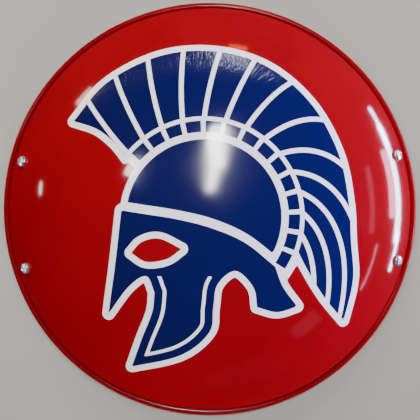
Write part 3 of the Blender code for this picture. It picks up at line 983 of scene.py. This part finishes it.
def strap_surface(left, right):
    """The strap between two screws, given their places in plan: its rows of points, its faces
    and its length. A line along it is cut off by a circle inside the rim, and a share of that
    line's length says where a row lies. Rows crowd at the ends, by a sine, where it bends. The
    section's points lie below the upper face by as much as makes their distance square to it."""
    middle = (left + right) / 2
    along = (right - left) / np.linalg.norm(right - left)
    across = np.array([-along[1], along[0]])
    half_span = np.linalg.norm(right - left) / 2
    end_r = RIM_RADIUS - 2 * BEAD - STRAP_END_GAP
    t = np.linspace(0.0, 1.0, STRAP_ROWS)
    share = t - 0.82 * np.sin(math.tau * t) / math.tau
    length = 2 * math.sqrt(end_r**2 - (middle @ across) ** 2)
    to_end = np.minimum(share, 1.0 - share) * length
    into_corner = STRAP_CORNER - np.minimum(to_end, STRAP_CORNER)
    rounding = STRAP_CORNER - np.sqrt(STRAP_CORNER**2 - into_corner**2)
    narrow = 1.0 - rounding / (STRAP_WIDTH / 2)
    offset = section[None, :, 0] * narrow[:, None]
    start = middle + across * offset[..., None]
    back = start @ along
    reach = np.sqrt(back**2 + end_r**2 - (start**2).sum(axis=-1))
    plan = start + along * ((2 * share[:, None] - 1) * reach - back)[..., None]
    x, y = plan[..., 0], plan[..., 1]
    step = 0.15 * MM
    fall_x = (strap_top(x + step, y, half_span) - strap_top(x - step, y, half_span)) / (2 * step)
    fall_y = (strap_top(x, y + step, half_span) - strap_top(x, y - step, half_span)) / (2 * step)
    down = (STRAP_THICK - section[None, :, 1]) * np.sqrt(1.0 + fall_x**2 + fall_y**2)
    points = np.stack([x, y, strap_top(x, y, half_span) - down], axis=-1)
    index = np.arange(offset.size).reshape(offset.shape)
    beside = np.roll(index, -1, axis=1)
    body = np.stack([index[:-1], index[1:], beside[1:], beside[:-1]], axis=-1)
    return points, body.reshape(-1, 4), length


def end_cap(row, turned_round):
    """The faces that close one end: the top's and the bottom's points are joined straight down,
    and what is left at each long edge is one face with many corners."""
    size = len(row)
    edge = (size - 2 * flat_count) // 2
    top = row[:flat_count]
    bottom = row[flat_count + edge: 2 * flat_count + edge][::-1]
    quads = np.stack([top[:-1], top[1:], bottom[1:], bottom[:-1]], axis=1)
    right = row[flat_count - 1: flat_count + edge + 1][None, :]
    left = np.concatenate([row[2 * flat_count + edge - 1:], row[:1]])[None, :]
    caps = [quads, right, left]
    return [cap[:, ::-1] for cap in caps] if turned_round else caps


straps = []
for level in ("upper", "lower"):
    left, right = (axes[f"{level}_{side}"][0][:2] for side in ("left", "right"))
    points, body, length = strap_surface(left, right)
    first = np.arange(len(section))
    last = first + (STRAP_ROWS - 1) * len(section)
    faces = [body] + end_cap(first, False) + end_cap(last, True)
    strap = make_piece(f"arm_strap_{level}", points, faces, 60.0)
    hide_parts(f"strap_{level}")
    straps.append(strap)
    print(f"{level} strap: {length / MM:.0f} mm from end to end in plan")

# %% [markdown]
# ## Harness leather
# The strap is vegetable-tanned cowhide, dyed brown and waxed. Its grain is a net of small
# pebbles about 0.8 mm across, the dye sits darker in the creases, and the rubbed edges are
# nearly black. The grain comes from a cell pattern, and the darker edges from a number that
# each point stores: how far it is from the strap's nearest edge.

# %% Leather
leather, tree, shader = new_material("harness_leather")
place = add("TexCoord").outputs["Object"]
cells = add("TexVoronoi", {"Vector": place, "Scale": scale_for(0.87)}).outputs["Distance"]
mottle = add("TexNoise", {"Vector": place, "Scale": scale_for(26.3), "Detail": 4.0}).outputs["Fac"]
dye = mixed(mottle, colour("#5A3420"), colour("#3B2014"))
edge_mm = add("Attribute", attribute_name="edge_mm").outputs["Fac"]
worn_edge = add("MapRange", {"Value": edge_mm, "From Min": 0.4, "From Max": 1.6}).outputs["Result"]
tree.links.new(mixed(worn_edge, colour("#1D100A"), dye), shader.inputs["Base Color"])
wax = add(
    "MapRange", {"Value": mottle, "From Min": 0.3, "From Max": 0.7, "To Min": 0.36, "To Max": 0.55},
)
tree.links.new(wax.outputs["Result"], shader.inputs["Roughness"])
grain_bump = add("Bump", {"Height": cells, "Strength": 0.35, "Distance": 0.15 * MM})
tree.links.new(grain_bump.outputs[0], shader.inputs["Normal"])

across_mm = (STRAP_WIDTH / 2 - np.abs(section[:, 0])) / MM
for strap in straps:
    mesh = strap.data
    rows = np.tile(across_mm, STRAP_ROWS).astype(np.float32)
    mesh.attributes.new("edge_mm", "FLOAT", "POINT").data.foreach_set("value", rows)
    mesh.materials.append(leather)
    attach(strap, "root")
print("straps:", len(straps))

# %% [markdown]
# ## The floor, the light and the camera
# The shield lies on its rim on a plain pale floor, and the camera looks straight down on it.
# A glossy dome is a mirror that shows the whole room, so the lights are placed by what they do
# in it: a light comes back to the camera from a place on the dome whose slope is half the
# angle between the two. A tall soft box near the camera gives the highlight over the cap, a
# row of thin ones low on the right gives the streak inside the rim, and faint ones beside them
# give the pink bars. Small ones at the top and left give the glints on the crest.
#
# Those alone would leave the colours dark, for a mirror needs little light. Three large fills
# brighten them, from above, from below and, cool as daylight, from the right, and all three
# stay out of the reflections. The low lamps would burn a white patch into the floor and the
# cool fill would tint it, so they light the shield alone. The two left screws face away from
# all of these, and a white card low on that side, which only the screws see, lights them.

# %% Floor
floor_material, tree, shader = new_material("pale_studio_floor")
shader.inputs["Base Color"].default_value = colour("#A6A6A4")
shader.inputs["Roughness"].default_value = 0.7
floor_mesh = bpy.data.meshes.new("floor")
FLOOR_REACH = 30.0
floor_corners = [(x * FLOOR_REACH, y * FLOOR_REACH, 0.0) for x, y in ((-1, -1), (1, -1), (1, 1), (-1, 1))]
floor_mesh.from_pydata(floor_corners, [], [(0, 1, 2, 3)])
floor = bpy.data.objects.new("floor", floor_mesh)
floor.data.materials.append(floor_material)
bpy.context.scene.collection.objects.link(floor)
# The photographed shield hung with nothing pale beside its edge, so its gloss doesn't mirror the floor
floor.visible_glossy = False
print("floor:", 2 * FLOOR_REACH, "m wide")


# %% Lights
def together(name, pieces):
    """A collection of pieces, as the list of what a lamp may light."""
    group = bpy.data.collections.new(name)
    for piece in pieces:
        group.objects.link(piece)
    return group


shield = together("shield", [dish] + screws + washers + nuts + straps)
heads = together("screw_heads", screws)
MIDDLE = (0.0, 0.0, 0.05)


def soft_box(name, place, size, power, tint="#FFFFFF", aim=MIDDLE, mirrored=True, lit=None):
    """A rectangle of light that faces a point. Its place is a bearing from +X, an elevation over
    the floor and a distance. The camera never sees it, only its mirror image, and lit is the
    collection that it shines on, if not everything."""
    turn, rise = math.radians(place[0]), math.radians(place[1])
    way = Vector((math.cos(rise) * math.cos(turn), math.cos(rise) * math.sin(turn), math.sin(rise)))
    lamp = bpy.data.lights.new(name, "AREA")
    lamp.shape = "RECTANGLE"
    lamp.size, lamp.size_y = size
    lamp.energy = power
    lamp.color = colour(tint)[:3]
    box = bpy.data.objects.new(name, lamp)
    box.location = way * place[2]
    box.rotation_euler = (Vector(aim) - box.location).to_track_quat("-Z", "Y").to_euler()
    box.visible_camera = False
    box.visible_glossy = mirrored
    box.light_linking.receiver_collection = lit
    bpy.context.scene.collection.objects.link(box)


soft_box("key_upper", (82.0, 70.0, 2.0), (0.16, 0.50), 26.0, "#FFFCF8")
soft_box("key_lower", (86.0, 80.5, 2.0), (0.09, 0.24), 6.0, "#FFFCF8")
soft_box("left_high", (152.5, 61.0, 2.0), (0.19, 0.17), 4.2, "#FFFAF4")
# The streak inside the right edge: its body, its tip, its tail and the pink beside it
soft_box("right_low", (8.0, 1.8, 1.05), (0.70, 0.060), 12.0, "#D4D8FF", (0.26, 0.03, 0.034), lit=shield)
soft_box("right_tip", (26.0, 1.6, 1.05), (0.24, 0.030), 2.0, "#D4D8FF", (0.24, 0.10, 0.034), lit=shield)
soft_box("right_tail", (-13.0, 0.9, 1.05), (0.22, 0.026), 1.8, "#D4D8FF", (0.26, -0.05, 0.034), lit=shield)
soft_box("right_inner", (8.0, 6.0, 1.05), (0.40, 0.065), 2.4, "#FFA8D0", (0.26, 0.03, 0.04), lit=shield)
soft_box("right_line", (3.0, 19.5, 1.8), (0.70, 0.10), 0.55, "#FFA0C0")
soft_box("right_bar", (-20.0, 14.0, 1.8), (0.50, 0.040), 0.70, "#FFB0D8")
soft_box("right_window", (-50.0, 27.0, 1.8), (0.34, 0.26), 0.12, "#FFC8E0")
# The glints at the top and the left
soft_box("top_middle", (81.0, 26.5, 1.8), (0.32, 0.13), 6.5, "#F4F6FF")
soft_box("top_low", (80.0, 18.5, 1.6), (0.17, 0.08), 0.7, "#FF6A28")
soft_box("top_left_low", (138.0, 15.5, 1.6), (0.20, 0.11), 1.2, "#FFE2CC")
soft_box("left_low", (173.0, 14.0, 1.6), (0.11, 0.035), 0.4)
soft_box("left_card", (180.0, 10.15, 0.965), (1.2, 0.30), 4.2, "#E6E4FF", (-0.28, 0.0, 0.03), lit=heads)
# The fills
soft_box("fill_above", (108.0, 25.0, 4.0), (2.0, 1.2), 130.0, "#FFF2E2", mirrored=False)
soft_box("fill_below", (-78.0, 15.0, 4.0), (2.0, 1.2), 168.0, "#FFFAF4", mirrored=False)
soft_box("fill_right", (5.0, 25.0, 4.0), (2.0, 1.2), 220.0, "#6274FF", mirrored=False, lit=shield)

world = bpy.data.worlds.new("studio")
world.use_nodes = True
world.node_tree.nodes["Background"].inputs["Color"].default_value = colour("#DADCE2")
world.node_tree.nodes["Background"].inputs["Strength"].default_value = 0.05
bpy.context.scene.world = world

# %% Camera
# The square frame and the shield's circle in it, in pixels
FRAME = 420.0
CIRCLE_X, CIRCLE_Y, CIRCLE_R = 209.8, 208.9, 205.9
DISTANCE = 1.25
SENSOR = 36.0
per_pixel = RIM_RADIUS / CIRCLE_R
half_view = per_pixel * FRAME / 2
lens = bpy.data.cameras.new("camera")
lens.sensor_width = SENSOR
lens.lens = SENSOR / 2 * (DISTANCE - bead_z) / half_view
camera = bpy.data.objects.new("camera", lens)
camera.location = ((FRAME / 2 - CIRCLE_X) * per_pixel, (CIRCLE_Y - FRAME / 2) * per_pixel, DISTANCE)
bpy.context.scene.collection.objects.link(camera)
bpy.context.scene.camera = camera
print(f"lens {lens.lens:.1f} mm at {DISTANCE} m")
